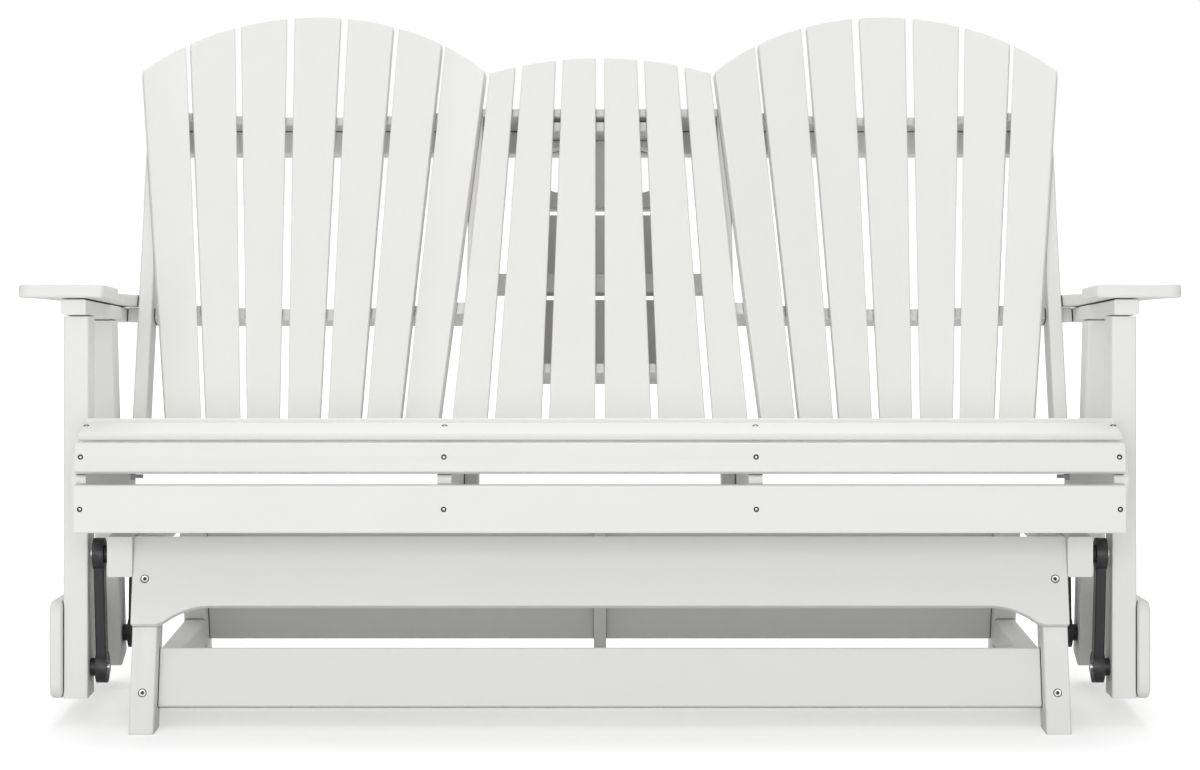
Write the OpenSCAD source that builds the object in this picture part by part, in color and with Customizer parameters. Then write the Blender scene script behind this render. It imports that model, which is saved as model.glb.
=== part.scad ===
// Outdoor glider loveseat with three fan backs; the middle back folds down into a table.
// Millimetres. +X is to the sitter's left as seen from the front, +Y runs to the back, +Z is up.
// Heights are taken from the floor. Depths are taken from the apron's front face and moved
// by origin_y at the end, so that the origin lies under the middle of the whole object.

/* [Board stock] */
// Thickness of the flat boards, such as slats, skirts and the apron
board_t = 19; // [16:0.5:22]
// Thickness of the seat stringers
stringer_t = 20; // [18:0.5:22]
// Thickness of the four back uprights
upright_t = 22; // [19:0.5:24]
// Width across the face of the square stock used for legs and posts
stock_w = 36; // [32:1:40]
// Depth of the same stock, front to back
stock_d = 62; // [54:1:68]
// Radius of the eased long edges
edge_r = 3; // [1:0.5:5]

/* [Base] */
// Half the width of the base over its legs
base_half_w = 674; // [640:1:690]
// Depth behind the apron at which the front feet stand
front_toe_y = 74; // [60:1:90]
// Depth of the base on the floor, toe to heel
base_depth = 724; // [690:1:760]
// Rake of the base legs
leg_rake = 18.5; // [15:0.5:20]
// Height of the top of the legs
leg_top_z = 273; // [262:1:276]
// Height of the underside of the two hanger rails
hanger_rail_z = 219; // [205:1:230]
// Depth at which the hanger rails start
hanger_rail_y = 126; // [118:1:134]
// Height of the underside of the low side rails
low_rail_z = 25; // [15:1:40]
// Height of the low side rails
low_rail_h = 45; // [38:1:56]
// Distance up the leg to the lower edge of the stretchers
stretcher_u = 45; // [30:1:60]
// The same for the rear stretcher
rear_stretcher_u = 42; // [30:1:60]
// Width of the stretchers
stretcher_w = 86; // [70:1:95]
// Set back of the stretchers from the front faces of their legs
stretcher_in = 32; // [20:1:40]
// Width of the centre leg's board
centre_leg_t = 20; // [16:1:24]

/* [Skirts] */
// Distance up the leg to the skirts' top edge
skirt_top_u = 284; // [276:1:288]
// Height of a skirt between its lobes
skirt_h = 101; // [95:1:115]
// How far the lobes at the ends hang lower
lobe_drop = 27; // [15:1:30]
// Width of the flat foot of a lobe
lobe_flat = 31; // [25:1:45]
// Width of the curve that joins lobe and skirt
lobe_run = 82; // [60:1:90]
// Radius where that curve meets the foot of the lobe
lobe_r = 30; // [24:1:60]

/* [Glide linkage] */
// Depth of the front lower pivot
front_pivot_y = 183.5; // [178:0.5:190]
// Distance between the lower pivots
lower_pivot_gap = 328; // [320:1:334]
// Height of the lower pivots
lower_pivot_z = 79.5; // [74:0.5:86]
// Length of a glide arm between its pivots
arm_len = 170; // [160:1:178]
// Lean of the arms at rest, the upper pivots being farther apart
arm_lean = 7; // [4:0.5:9]
// Outer radius of the arm's eyes
eye_r = 23; // [20:0.5:25]
// Thickness of the arm at its eyes
eye_t = 16; // [13:0.5:18]
// Thickness of the arm's bar
arm_bar_t = 15; // [8:0.5:15.5]
// Width of the arm's bar, front to back
arm_bar_w = 26; // [20:1:32]
// Radius of the pivot bolts
bolt_r = 5; // [4:0.25:6]
// Running clearance of the bearings on their bolts
bearing_fit = 0.06; // [0.03:0.01:0.1]
// Radius over the bearings
bearing_r = 10; // [8.5:0.5:12]
// Clearance in the two rear lower bearings, where the closed linkage is left open
open_pivot_fit = 1.5; // [1.2:0.1:2]
// Room for the glide arms between the hanger rails and the posts
linkage_w = 33; // [28:1:38]
// Gap between an eye and the collar or washer beside it
side_gap = 0.4; // [0.3:0.1:0.6]

/* [Side frames] */
// Lean of the front posts, top to the back
front_post_lean = 3.4; // [1:0.1:5]
// Lean of the rear posts, top to the front
rear_post_lean = 7.7; // [5:0.1:9]
// Distance from the lower pivots down to the front posts' ends
front_post_foot = 41; // [36:1:46]
// Distance from the lower pivots down to the rear posts' ends
rear_post_foot = 48; // [36:1:50]
// Height of the lower side boards
side_board_h = 142; // [120:1:150]
// Slope of the lower side boards, down to the back
side_board_slope = 2.5; // [1:0.5:3]
// Length of the lower side boards
side_board_len = 396; // [380:1:410]
// Corner radius of the lower side boards
side_board_r = 20; // [12:1:45]

/* [Armrests] */
// Depth of the armrests' front edge
arm_front_y = 129.5; // [120:0.5:140]
// Height of the armrests' top at the front edge
arm_front_z = 641.5; // [620:0.5:660]
// Slope of the armrests, down to the back
arm_slope = 4.9; // [3:0.1:6]
// Width of an armrest at the front
arm_front_w = 124; // [116:1:132]
// Overhang of the armrests inside the posts
arm_in = 30; // [24:1:34]
// Length of the straight inner edge of the paddle
arm_paddle_len = 146; // [120:1:170]
// Width of an armrest behind its paddle, from the posts' inner faces
arm_rear_w = 54; // [46:1:70]
// Length of an armrest along its slope
arm_rest_len = 486; // [478:1:495]
// Distance from the front at which the taper ends
arm_taper_y = 208; // [180:1:240]
// Radius of the paddle's outer front corner
arm_corner_r = 16; // [10:1:26]
// Radius of the paddle's inner front corner
arm_inner_r = 8; // [4:1:16]
// Height of the support rail under an armrest
arm_rail_h = 24; // [20:1:30]
// Height of the shadow gap round the joints under an armrest
shadow_gap = 1.5; // [1:0.1:2]
// Distance from the armrest's front edge to the rail's front end
arm_rail_in = 32; // [26:1:40]

/* [Seat] */
// Gap between the ends of apron and seat slats and the posts
seat_side_gap = 6; // [3:1:12]
// Height of the apron's lower edge
apron_z = 298; // [296:1:306]
// Height of the apron
apron_h = 67.5; // [60:0.5:72]
// Slope of the seat, down to the back
seat_slope = 8; // [6:0.5:9]
// Depth of the front slat's rear edge
crest_y = 110; // [104:1:116]
// Gap between the front slat and the first slat behind it
crest_gap = 8; // [7:0.5:9]
// Height of the seat where the sloping slats start
crest_z = 449.5; // [440:0.5:456]
// How far the front slat's rear edge lies below that
crest_drop = 3.5; // [2:0.5:5]
// Width of the slats behind the crest
seat_slat_w = 79; // [76:1:79]
// Number of slats behind the crest
seat_slat_n = 4; // [4:1:4]
// Gap between the seat slats
seat_gap = 6; // [4:0.5:7]
// Width of the front slat
front_slat_w = 76; // [70:1:78]
// Distance of the front slat's screws from its rear edge
front_screw_in = 27; // [20:1:40]
// Tilt of the front slat, down to the front
front_slat_tilt = 13; // [10:1:16]
// Width of the nose slat
nose_slat_w = 42; // [38:1:46]
// Tilt of the nose slat from upright
nose_slat_tilt = 17; // [12:1:22]
// Height of the nose slat's upper front edge
nose_top_z = 424.5; // [418:0.5:425]
// Distance from the middle to the inner stringers' inner faces
inner_stringer_x = 209; // [205:1:215]
// Depth of the stringers' rear ends
stringer_rear_y = 516; // [506:1:560]

/* [Back frame] */
// Recline of the back
recline = 23.4; // [21:0.1:25]
// Depth of the uprights' front edge at the reference height
back_ref_y = 489.6; // [486:0.1:494]
// Reference height on the uprights
back_ref_z = 430.4; // [426:0.1:434]
// Depth of the uprights, square to the back
upright_d = 59; // [52:1:64]
// Distance up the back to the uprights' tops
upright_top = 493; // [480:1:505]
// Height at which the outer uprights end, above their bolts
outer_foot_z = 340; // [338:1:350]
// Height at which the inner uprights end
inner_foot_z = 308; // [306:1:320]
// Thickness of the top rail
top_rail_t = 15; // [13:0.5:17]
// Height of the back board under the top rail
back_board_h = 39.5; // [36:0.5:50]
// Distance up the back to the mid rails' lower face
mid_rail_v = 157; // [150:0.5:170]
// Distance down the back to the low rails' lower face
low_rail_drop = 70; // [60:1:76]
// How far the mid and low rails step back beside the outer uprights
rail_step = 25; // [15:1:30]
// Thickness of the mid and low rails
cross_rail_t = 20; // [16:1:22]

/* [Fan backs] */
// Distance from the posts' inner faces to each fan's centre line
fan_in = 284.5; // [280:0.5:290]
// Number of slats in a fan
fan_n = 7; // [7:1:7]
// Gap beside a fan's middle slat
fan_gap = 13.2; // [10:0.1:16]
// How much narrower each next gap is, to the fan's edges
fan_gap_step = 2.5; // [0:0.1:3]
// How much farther out the middle joints lie at the slats' tips
fan_swell = 4.6; // [0:0.1:6]
// Set back of a fan's outer edges from an even spacing
fan_edge_in = 3.6; // [3:0.1:6]
// Distance from the fans' vanishing point to where the fan is measured
fan_reach = 2583; // [2400:1:2800]
// Distance up the back at which the fan is measured
fan_ref_v = 557; // [540:1:570]
// Angle between two slats, about the cone's axis
fan_pitch = 4.68; // [4.6:0.01:4.8]
// Half angle of the cone on which the slats lie
fan_cone = 22.5; // [20:0.1:25]
// Hollow of the fan at its middle, where the slats are measured
fan_hollow = 35; // [28:0.5:38]
// Radius of the fan's arched top
fan_top_r = 388; // [360:1:420]
// Distance up the back to the top of the arch
fan_top_v = 678; // [650:1:690]
// Distance down the back to the slats' lower ends
fan_foot = 76; // [72:1:84]
// Clearance between the slats and the rails that carry them
slat_seat = 0.2; // [0.1:0.05:0.3]

/* [Folding table] */
// Number of slats on each side of the middle
table_n = 3; // [3:1:3]
// Half the gap between the two middle slats
table_mid_gap = 7; // [5:0.5:9]
// Width of a table slat at the seat
table_slat_w = 71.5; // [66:0.5:74]
// Width of the outer table slats at the seat
table_end_w = 54; // [48:0.5:57]
// Gap between table slats
table_slat_gap = 11.4; // [9:0.1:14]
// Distance from the seat up to where the table slats' edges would meet
table_reach = 2250; // [2100:1:2500]
// Distance down the back at which the table slats are measured
table_ref_drop = 11.6; // [5:0.1:20]
// Radius of the table panel's arched top
table_top_r = 593; // [550:1:650]
// Distance up the back to the top of that arch
table_top_v = 588.5; // [570:0.5:605]
// Half the length of the table boards
table_half_w = 127; // [115:1:140]
// Distance from the middle to the table's stiles
stile_x = 97; // [92:1:104]
// Width of the two table boards farther from the hinge
table_board_w = 133; // [120:0.5:140]
// Gap between the table boards
table_board_gap = 11.2; // [3:0.1:14]
// Distance up the back to the table's lower edge
table_low_v = 59.5; // [50:0.5:62]
// Distance up the back to the table's far edge
table_high_v = 484; // [478:1:490]
// Thickness of the table boards
table_board_t = 18; // [15:0.5:19]
// Thickness of the two end battens
batten_t = 16; // [14:0.5:18]
// Depth of the end battens between slats and table boards
batten_d = 39.4; // [36:0.2:40]
// Distance up the back to the flat batten's lower edge
flat_batten_v = 200.5; // [190:0.5:210]
// Width of the flat batten
flat_batten_w = 32.5; // [28:0.5:40]
// Width of the packers at the flat batten's ends
packer_w = 22; // [16:1:24]
// Clearance between the flat batten and the inner uprights
flat_batten_gap = 3; // [2:0.5:5]
// Radius of the cup holes
cup_r = 40; // [36:0.5:44]
// Distance from the middle to the cup holes' centres
cup_x = 61; // [56:0.5:70]
// Distance of the cup holes' centres below the table's far edge
cup_in = 66.5; // [60:0.5:74]
// Radius of the hinge knuckles
knuckle_r = 4.5; // [4:0.25:5]
// Radius of the hinge pins
hinge_pin_r = 2.5; // [2:0.25:3]
// Thickness of the hinge leaves
leaf_t = 2; // [1.5:0.25:2.5]
// Length of a hinge
hinge_len = 60; // [50:1:70]
// Distance from the middle to the hinges' centres
hinge_x = 120; // [110:1:130]

/* [Hidden] */
$fn = 48;
eps = 0.01;
far = 2000;

// Colours of the finishes
white_board = [0.93, 0.93, 0.92];
black_metal = [0.12, 0.12, 0.13];
bright_steel = [0.72, 0.73, 0.75];

// The whole object spans from the apron's front face to the rear feet
rear_heel_y = front_toe_y + base_depth;
origin_y = rear_heel_y / 2;

// Glide linkage
rear_pivot_y = front_pivot_y + lower_pivot_gap;
arm_dy = arm_len * sin(arm_lean);
arm_dz = arm_len * cos(arm_lean);
upper_pivot_z = lower_pivot_z + arm_dz;
hanger_rail_h = 2 * (upper_pivot_z - hanger_rail_z);
hanger_rail_rear_y = rear_heel_y - leg_top_z * tan(leg_rake);
hanger_x = base_half_w + stock_w;
post_x = hanger_x + linkage_w;
seat_half_w = post_x - seat_side_gap;
fan_x = post_x - fan_in;
collar_t = (post_x - hanger_x - eye_t) / 2;
eye_x = hanger_x + collar_t;
collar_r = 13;

// Seat: the line of the seat tops behind the crest, and the pieces in front of it
seat_len = seat_slat_n * seat_slat_w + (seat_slat_n - 1) * seat_gap;
seat_start_y = crest_y + crest_gap;
front_slat_z = crest_z - crest_drop;
nose_back_y = crest_y - front_slat_w * cos(front_slat_tilt) - 1;
nose_back_z = nose_top_z - board_t * sin(nose_slat_tilt);

// Back frame: it ends at the outer faces of the outer uprights
back_half_w = post_x - stringer_t;

// Cone on which a fan's slats lie
fan_apex_v = fan_ref_v - fan_reach;
fan_dip = atan(fan_hollow / fan_reach);
fan_half = (fan_n - 1) / 2;
// Half the room a slat has at a distance of one from the vanishing point
fan_room = sin(fan_cone) * tan(fan_pitch / 2);
// A flat slat's edges lie this far outside the cone it touches
fan_bulge = fan_reach * sin(fan_cone) * (1 / cos(fan_pitch / 2) - 1);

// Table panel
table_apex_v = table_reach - table_ref_drop;
table_clear = 0.3;
table_low_w = table_high_v - 2 * (table_board_w + table_board_gap) - table_low_v;
board_face = batten_d - table_clear;

// The hinge axis lies a knuckle in front of the table slats and a little above the seat
hinge_face = knuckle_r + 0.3;
hinge_rise = knuckle_r + 0.8;
seat_line = sin(seat_slope) * seat_start_y + cos(seat_slope) * crest_z + hinge_rise;
back_line = -cos(recline) * back_ref_y + sin(recline) * back_ref_z + table_clear + board_t + hinge_face;
hinge_det = sin(seat_slope) * sin(recline) + cos(seat_slope) * cos(recline);
hinge_y = (seat_line * sin(recline) - back_line * cos(seat_slope)) / hinge_det;
hinge_z = (back_line * sin(seat_slope) + seat_line * cos(recline)) / hinge_det;
hinge_v = sin(recline) * (hinge_y - back_ref_y) + cos(recline) * (hinge_z - back_ref_z);
hinge_w = table_clear + board_t + hinge_face;
leaf_gap = 0.3;
leaf_seat = 0.1;
leaf_w = 24;
leaf_reach = 30;
leaf_up = 5;

// Clearance between an armrest and the outer upright beside it
arm_clear = 0.4;
// Width of the shadow gap round a joint, outside its core
core_in = 9;
// Set back of the blocks beside the outer uprights from the uprights' front edges
block_in = 22;

// Fasteners
skirt_screw_u = 222;
foot_screw_u = 60;
screw_head_r = 3.9;
screw_head_t = 2.4;
screw_r = 2.2;
screw_len = 32;
screw_fit = 0.05;
big_head_r = 6.2;
bolt_head_r = 8;
bolt_head_t = 6;
sink_gap = 0.3;
cap_t = 3;
nut_r = 5.5;
nut_t = 6.5;
tie_r = 3;
post_bolt_z = 328.5;

// Moves a part from the depth scale on the apron to the row's origin
module placed() {
  translate([0, -origin_y, 0]) children();
}

// Flat rectangle with rounded corners, centred
module round_rect(a, b, r) {
  square([a - 2 * r, b], center = true);
  square([a, b - 2 * r], center = true);
  for (x = [-1, 1], y = [-1, 1]) translate([x * (a / 2 - r), y * (b / 2 - r)]) circle(r);
}

// Bar along X from x0 to x1 with its section centred at (yc, zc), turned by tilt
module bar_x(x0, x1, yc, zc, dy, dz, tilt = 0, r = edge_r) {
  translate([x0, yc, zc]) rotate([tilt, 0, 0]) rotate([0, 90, 0])
    linear_extrude(x1 - x0) round_rect(dz, dy, r);
}

// Bar along Y from y0 to y1, its section given by x0 to x1 and z0 to z1
module bar_y(y0, y1, x0, x1, z0, z1, r = edge_r) {
  translate([(x0 + x1) / 2, y1, (z0 + z1) / 2]) rotate([90, 0, 0])
    linear_extrude(y1 - y0) round_rect(x1 - x0, z1 - z0, r);
}

// Plate between x0 and x1 with an outline given by points (y, z)
module side_plate(x0, x1, points) {
  translate([x0, 0, 0]) rotate([90, 0, 90]) linear_extrude(x1 - x0) polygon(points);
}

// Both sides from a child drawn on the +X side
module left_side() {
  children();
}

module right_side() {
  mirror([1, 0, 0]) children();
}

module both_sides() {
  children();
  mirror([1, 0, 0]) children();
}

// Turns the front half of the base into the rear half
module rear_half() {
  translate([0, front_toe_y + rear_heel_y, 0]) mirror([0, 1, 0]) children();
}

// Frame of a raked front leg: its face lies in the local XZ plane, Z up the leg
module raked() {
  translate([0, front_toe_y, 0]) rotate([-leg_rake, 0, 0]) children();
}

// Frame of the back: Z up the back, Y square to it towards the rear
module reclined() {
  translate([0, back_ref_y, back_ref_z]) rotate([-recline, 0, 0]) children();
}

// Frame of an armrest: its top is the local XY plane, Y along it to the rear
module arm_frame() {
  translate([0, arm_front_y, arm_front_z]) rotate([-arm_slope, 0, 0]) children();
}

// Base

module base_leg() {
  color(white_board) difference() {
    intersection() {
      raked() translate([base_half_w - stock_w / 2, stock_d / 2, -60])
        linear_extrude(far / 4) round_rect(stock_w, stock_d, edge_r);
      translate([0, -far / 2, 0]) cube([far, far, leg_top_z]);
    }
    raked() {
      screw_places(skirt_screws) screw_hole(screw_len, big_head_r);
      screw_places(foot_screws) screw_hole(screw_len, big_head_r);
    }
  }
}

// Outline of a skirt in its own plane, from the centre line out to +X
module skirt_outline() {
  low = skirt_top_u - skirt_h;
  foot = base_half_w - lobe_flat;
  knee = lobe_r * sin(2 * atan(lobe_drop / lobe_run));
  upper_r = (lobe_run * lobe_run + lobe_drop * lobe_drop) / (2 * lobe_drop) - lobe_r;
  translate([0, low]) square([base_half_w, skirt_h]);
  translate([foot, low - lobe_drop]) square([lobe_flat, lobe_drop + eps]);
  intersection() {
    translate([foot - knee, low - lobe_drop]) square([knee + eps, lobe_drop + eps]);
    translate([foot, low - lobe_drop + lobe_r]) circle(lobe_r, $fn = 120);
  }
  difference() {
    translate([foot - lobe_run, low - lobe_drop]) square([lobe_run - knee + eps, lobe_drop + eps]);
    translate([foot - lobe_run, low - upper_r]) circle(upper_r, $fn = 120);
  }
}

module screw_places(list) {
  for (p = list) translate(p) children();
}

// Places of the screws through a skirt and a leg, in the raked frame
skirt_screws = [for (s = [-1, 1]) [s * (base_half_w - stock_w / 2), -board_t, skirt_screw_u]];
foot_screws = [for (s = [-1, 1]) [s * (base_half_w - stock_w / 2), 0, foot_screw_u]];

// Screw along +Y with its head's face at the origin
module screw(len, head_r = screw_head_r) {
  rotate([-90, 0, 0]) cylinder(h = screw_head_t, r = head_r);
  rotate([-90, 0, 0]) cylinder(h = len, r = screw_r);
}

module screw_hole(len, head_r = screw_head_r) {
  translate([0, -1, 0]) rotate([-90, 0, 0]) cylinder(h = screw_head_t + 1, r = head_r + screw_fit);
  rotate([-90, 0, 0]) cylinder(h = len + 0.5, r = screw_r + screw_fit);
}

module skirt() {
  color(white_board) raked() difference() {
    rotate([90, 0, 0]) linear_extrude(board_t) {
      skirt_outline();
      mirror([1, 0, 0]) skirt_outline();
    }
    screw_places(skirt_screws) screw_hole(screw_len, big_head_r);
  }
}

module stretcher() {
  color(white_board) raked()
    translate([0, stretcher_in + board_t / 2, stretcher_u + stretcher_w / 2])
      rotate([0, 90, 0]) linear_extrude(2 * (base_half_w - stock_w), center = true)
        round_rect(stretcher_w, board_t, edge_r);
}

// The rear stretcher stands as far behind the rear legs' front faces
module rear_stretcher() {
  color(white_board) rear_half() raked()
    translate([0, stock_d - stretcher_in - board_t / 2, rear_stretcher_u + stretcher_w / 2])
      rotate([0, 90, 0]) linear_extrude(2 * (base_half_w - stock_w), center = true)
        round_rect(stretcher_w, board_t, edge_r);
}

module base_low_rail() {
  inner = front_toe_y + stock_d / cos(leg_rake);
  outer = rear_heel_y - stock_d / cos(leg_rake);
  lean = tan(leg_rake);
  color(white_board) intersection() {
    bar_y(0, far, base_half_w - stock_w, base_half_w, low_rail_z, low_rail_z + low_rail_h, edge_r * 2);
    side_plate(0, far, [
      [inner, 0], [outer, 0], [outer - lean * 200, 200], [inner + lean * 200, 200]
    ]);
  }
}

module hanger_rail() {
  color(white_board) difference() {
    bar_y(hanger_rail_y, hanger_rail_rear_y, base_half_w, hanger_x,
      hanger_rail_z, hanger_rail_z + hanger_rail_h);
    for (y = [front_pivot_y - arm_dy, rear_pivot_y + arm_dy])
      translate([base_half_w - 1, y, upper_pivot_z]) rotate([0, 90, 0]) {
        cylinder(h = stock_w + 2, r = bolt_r + screw_fit);
        cylinder(h = bolt_head_t + 2 * sink_gap + 1, r = bolt_head_r + screw_fit);
      }
  }
}

module base_centre_leg() {
  top = rear_stretcher_u + stretcher_w;
  color(white_board) intersection() {
    rear_half() raked() side_plate(-centre_leg_t / 2, centre_leg_t / 2, [
      [stock_d - stretcher_in, -60], [stock_d, -60], [stock_d, skirt_top_u],
      [0, skirt_top_u], [0, top], [stock_d - stretcher_in, top]
    ]);
    translate([-far / 2, -far / 2, 0]) cube([far, far * 2, leg_top_z]);
  }
}

module base_screw_set() {
  raked() {
    screw_places(skirt_screws) screw(screw_len, big_head_r);
    screw_places(foot_screws) screw(screw_len, big_head_r);
  }
}

module base_screws() {
  color(bright_steel) {
    base_screw_set();
    rear_half() base_screw_set();
  }
}

// Upper pivot bolt along +X: its head is sunk in the rail's inner face, its cap holds the eye
module hanger_bolt() {
  rotate([0, 90, 0]) {
    translate([0, 0, base_half_w + sink_gap]) cylinder(h = bolt_head_t, r = bolt_head_r);
    translate([0, 0, base_half_w + sink_gap])
      cylinder(h = eye_x + eye_t + side_gap + 2 - base_half_w - sink_gap, r = bolt_r);
    translate([0, 0, eye_x + eye_t + side_gap]) cylinder(h = cap_t, r = bolt_head_r);
  }
}

module hanger_bolts() {
  color(bright_steel) for (s = [0, 1], y = [front_pivot_y - arm_dy, rear_pivot_y + arm_dy])
    mirror([s, 0, 0]) translate([0, y, upper_pivot_z]) hanger_bolt();
}

// Collar between a post or rail and the eye, bored for its bolt
module collar() {
  rotate([0, 90, 0]) difference() {
    cylinder(h = collar_t - side_gap, r = collar_r);
    translate([0, 0, -1]) cylinder(h = collar_t + 2, r = bolt_r + screw_fit);
  }
}

module hanger_collars() {
  color(black_metal) for (s = [0, 1], y = [front_pivot_y - arm_dy, rear_pivot_y + arm_dy])
    mirror([s, 0, 0]) translate([hanger_x, y, upper_pivot_z]) collar();
}

// Glide linkage

// Child drawn about a lower pivot, for the front arm; the rear arm leans the other way
module arm_place(rear) {
  translate([0, rear ? rear_pivot_y : front_pivot_y, lower_pivot_z])
    rotate([rear ? -arm_lean : arm_lean, 0, 0]) children();
}

module glide_arm(rear) {
  color(black_metal) arm_place(rear) difference() {
    union() {
      for (z = [0, arm_len]) translate([eye_x, 0, z]) rotate([0, 90, 0]) cylinder(h = eye_t, r = eye_r);
      translate([eye_x + eye_t / 2, 0, arm_len / 2])
        linear_extrude(arm_len - eye_r, center = true) round_rect(arm_bar_t, arm_bar_w, 2.5);
    }
    for (z = [0, arm_len]) translate([eye_x - 1, 0, z]) rotate([0, 90, 0])
      cylinder(h = eye_t + 2, r = bearing_r + screw_fit);
  }
}

module bearing(bore) {
  rotate([0, 90, 0]) difference() {
    cylinder(h = eye_t, r = bearing_r);
    translate([0, 0, -1]) cylinder(h = eye_t + 2, r = bore);
  }
}

module bearings(rear) {
  color(bright_steel) arm_place(rear) {
    translate([eye_x, 0, arm_len]) bearing(bolt_r + bearing_fit);
    translate([eye_x, 0, 0]) bearing(bolt_r + (rear ? open_pivot_fit : bearing_fit));
  }
}

// Side frames

post_end_x = post_x + stock_w;

// Frame of a post about its lower pivot, Z up the post
module post_place(rear) {
  translate([0, rear ? rear_pivot_y : front_pivot_y, lower_pivot_z])
    rotate([rear ? rear_post_lean : -front_post_lean, 0, 0]) children();
}

// Everything more than a drop below the underside of an arm rail
module under_arm_rail(drop) {
  arm_frame() translate([0, -100, -board_t - arm_rail_h - drop - far]) cube([far, far, far]);
}

module post(rear) {
  foot = lower_pivot_z - (rear ? rear_post_foot : front_post_foot);
  heel = rear_pivot_y + stock_d / 2;
  color(white_board) difference() {
    intersection() {
      post_place(rear) translate([post_x + stock_w / 2, 0, -80])
        linear_extrude(arm_front_z + 60) round_rect(stock_w, stock_d, edge_r);
      union() {
        under_arm_rail(shadow_gap);
        intersection() {
          under_arm_rail(0);
          post_place(rear) translate([post_x + core_in, core_in - stock_d / 2, 0])
            cube([stock_w - 2 * core_in, stock_d - 2 * core_in, far]);
        }
      }
      translate([0, -far / 2, foot]) cube([far, far * 2, far]);
    }
    if (rear) side_plate(0, far, [[heel - 47, foot - 1], [heel + 20, foot - 1], [heel + 20, foot + 20]]);
    translate([post_x - 1, rear ? rear_pivot_y : front_pivot_y, lower_pivot_z]) rotate([0, 90, 0]) {
      cylinder(h = stock_w + 2, r = bolt_r + screw_fit);
      translate([0, 0, 1 + stock_w - bolt_head_t - 2 * sink_gap])
        cylinder(h = bolt_head_t + 2, r = bolt_head_r + screw_fit);
    }
    if (rear) post_bolt_place() rotate([0, 90, 0]) cylinder(h = 200, r = tie_r + screw_fit, center = true);
  }
}

// Bolt that ties a rear post to the stringer beside it, clear of the outer upright
module post_bolt_place() {
  translate([post_x, post_bolt_y, post_bolt_z]) children();
}

// Middle of the rear post at the bolt's height
post_bolt_y = rear_pivot_y - (post_bolt_z - lower_pivot_z) * tan(rear_post_lean) - 10;

module post_bolts() {
  color(bright_steel) for (s = [0, 1]) mirror([s, 0, 0]) post_bolt_place() rotate([0, 90, 0]) {
    translate([0, 0, -stringer_t - nut_t - 12]) cylinder(h = stock_w + stringer_t + nut_t + 12, r = tie_r);
    translate([0, 0, -stringer_t - nut_t]) cylinder(h = nut_t, r = nut_r);
    translate([0, 0, stock_w]) cylinder(h = cap_t, r = bolt_head_r);
  }
}

module pivot_bolts() {
  inner_end = eye_x - side_gap - 2;
  color(bright_steel) for (s = [0, 1], y = [front_pivot_y, rear_pivot_y])
    mirror([s, 0, 0]) translate([0, y, lower_pivot_z]) rotate([0, 90, 0]) {
      translate([0, 0, inner_end]) cylinder(h = post_end_x - sink_gap - inner_end, r = bolt_r);
      translate([0, 0, eye_x - side_gap - cap_t]) cylinder(h = cap_t, r = bolt_head_r);
      translate([0, 0, post_end_x - sink_gap - bolt_head_t]) cylinder(h = bolt_head_t, r = bolt_head_r);
    }
}

module pivot_collars() {
  color(black_metal) for (s = [0, 1], y = [front_pivot_y, rear_pivot_y])
    mirror([s, 0, 0]) translate([post_x - collar_t + side_gap, y, lower_pivot_z]) collar();
}

module lower_side_board() {
  y0 = front_pivot_y - stock_d / 2 - 7.5;
  color(white_board) translate([post_end_x, y0, lower_pivot_z - front_post_foot + side_board_h / 2])
    rotate([-side_board_slope, 0, 0]) translate([0, side_board_len / 2, 0])
      rotate([90, 0, 90]) linear_extrude(board_t) round_rect(side_board_len, side_board_h, side_board_r);
}

// Plan of an armrest: X from the posts' inner faces, Y from its front edge
module arm_plan() {
  out = arm_front_w - arm_in;
  tail = arm_clear - stringer_t;
  difference() {
    polygon([
      [-arm_in, 0], [out, 0], [out, arm_corner_r + 6], [out - 22, arm_taper_y * 0.4],
      [arm_rear_w, arm_taper_y], [arm_rear_w, arm_rest_len], [tail, arm_rest_len],
      [tail, arm_rest_len - 46], [0, arm_rest_len - 108], [0, arm_taper_y + 82], [-arm_in, arm_paddle_len]
    ]);
    translate([out - arm_corner_r, arm_corner_r]) difference() {
      translate([0, -arm_corner_r - 1]) square([arm_corner_r + 1, arm_corner_r + 1]);
      circle(arm_corner_r);
    }
    translate([arm_inner_r - arm_in, arm_inner_r]) difference() {
      translate([-arm_inner_r - 1, -arm_inner_r - 1]) square(arm_inner_r + 1);
      circle(arm_inner_r);
    }
    translate([arm_rear_w - 10, arm_rest_len - 10]) difference() {
      square(11);
      circle(10);
    }
  }
}

module armrest() {
  color(white_board) arm_frame() translate([post_x, 0, -board_t]) linear_extrude(board_t) arm_plan();
}

module arm_rail() {
  color(white_board) arm_frame() {
    bar_y(arm_rail_in, arm_rest_len - 12, post_x, post_end_x,
      -board_t - arm_rail_h, -board_t - shadow_gap, edge_r);
    translate([post_x + core_in, arm_rail_in + core_in, -board_t - arm_rail_h / 2])
      cube([stock_w - 2 * core_in, arm_rest_len - 12 - arm_rail_in - 2 * core_in, arm_rail_h / 2]);
  }
}

module arm_blocks() {
  color(white_board) for (s = [0, 1]) mirror([s, 0, 0]) intersection() {
    arm_frame() bar_y(arm_rest_len / 2, arm_rest_len * 1.5, post_x - stringer_t, post_x - shadow_gap,
      -board_t - arm_rail_h, -board_t - shadow_gap, 1);
    reclined() translate([0, block_in, 0]) cube([far, upright_d - block_in - core_in, far]);
  }
}

// Seat

// Frame of the sloping seat, its origin at the first slat's upper front edge
module seat_frame() {
  translate([0, seat_start_y, crest_z]) rotate([-seat_slope, 0, 0]) children();
}

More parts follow.
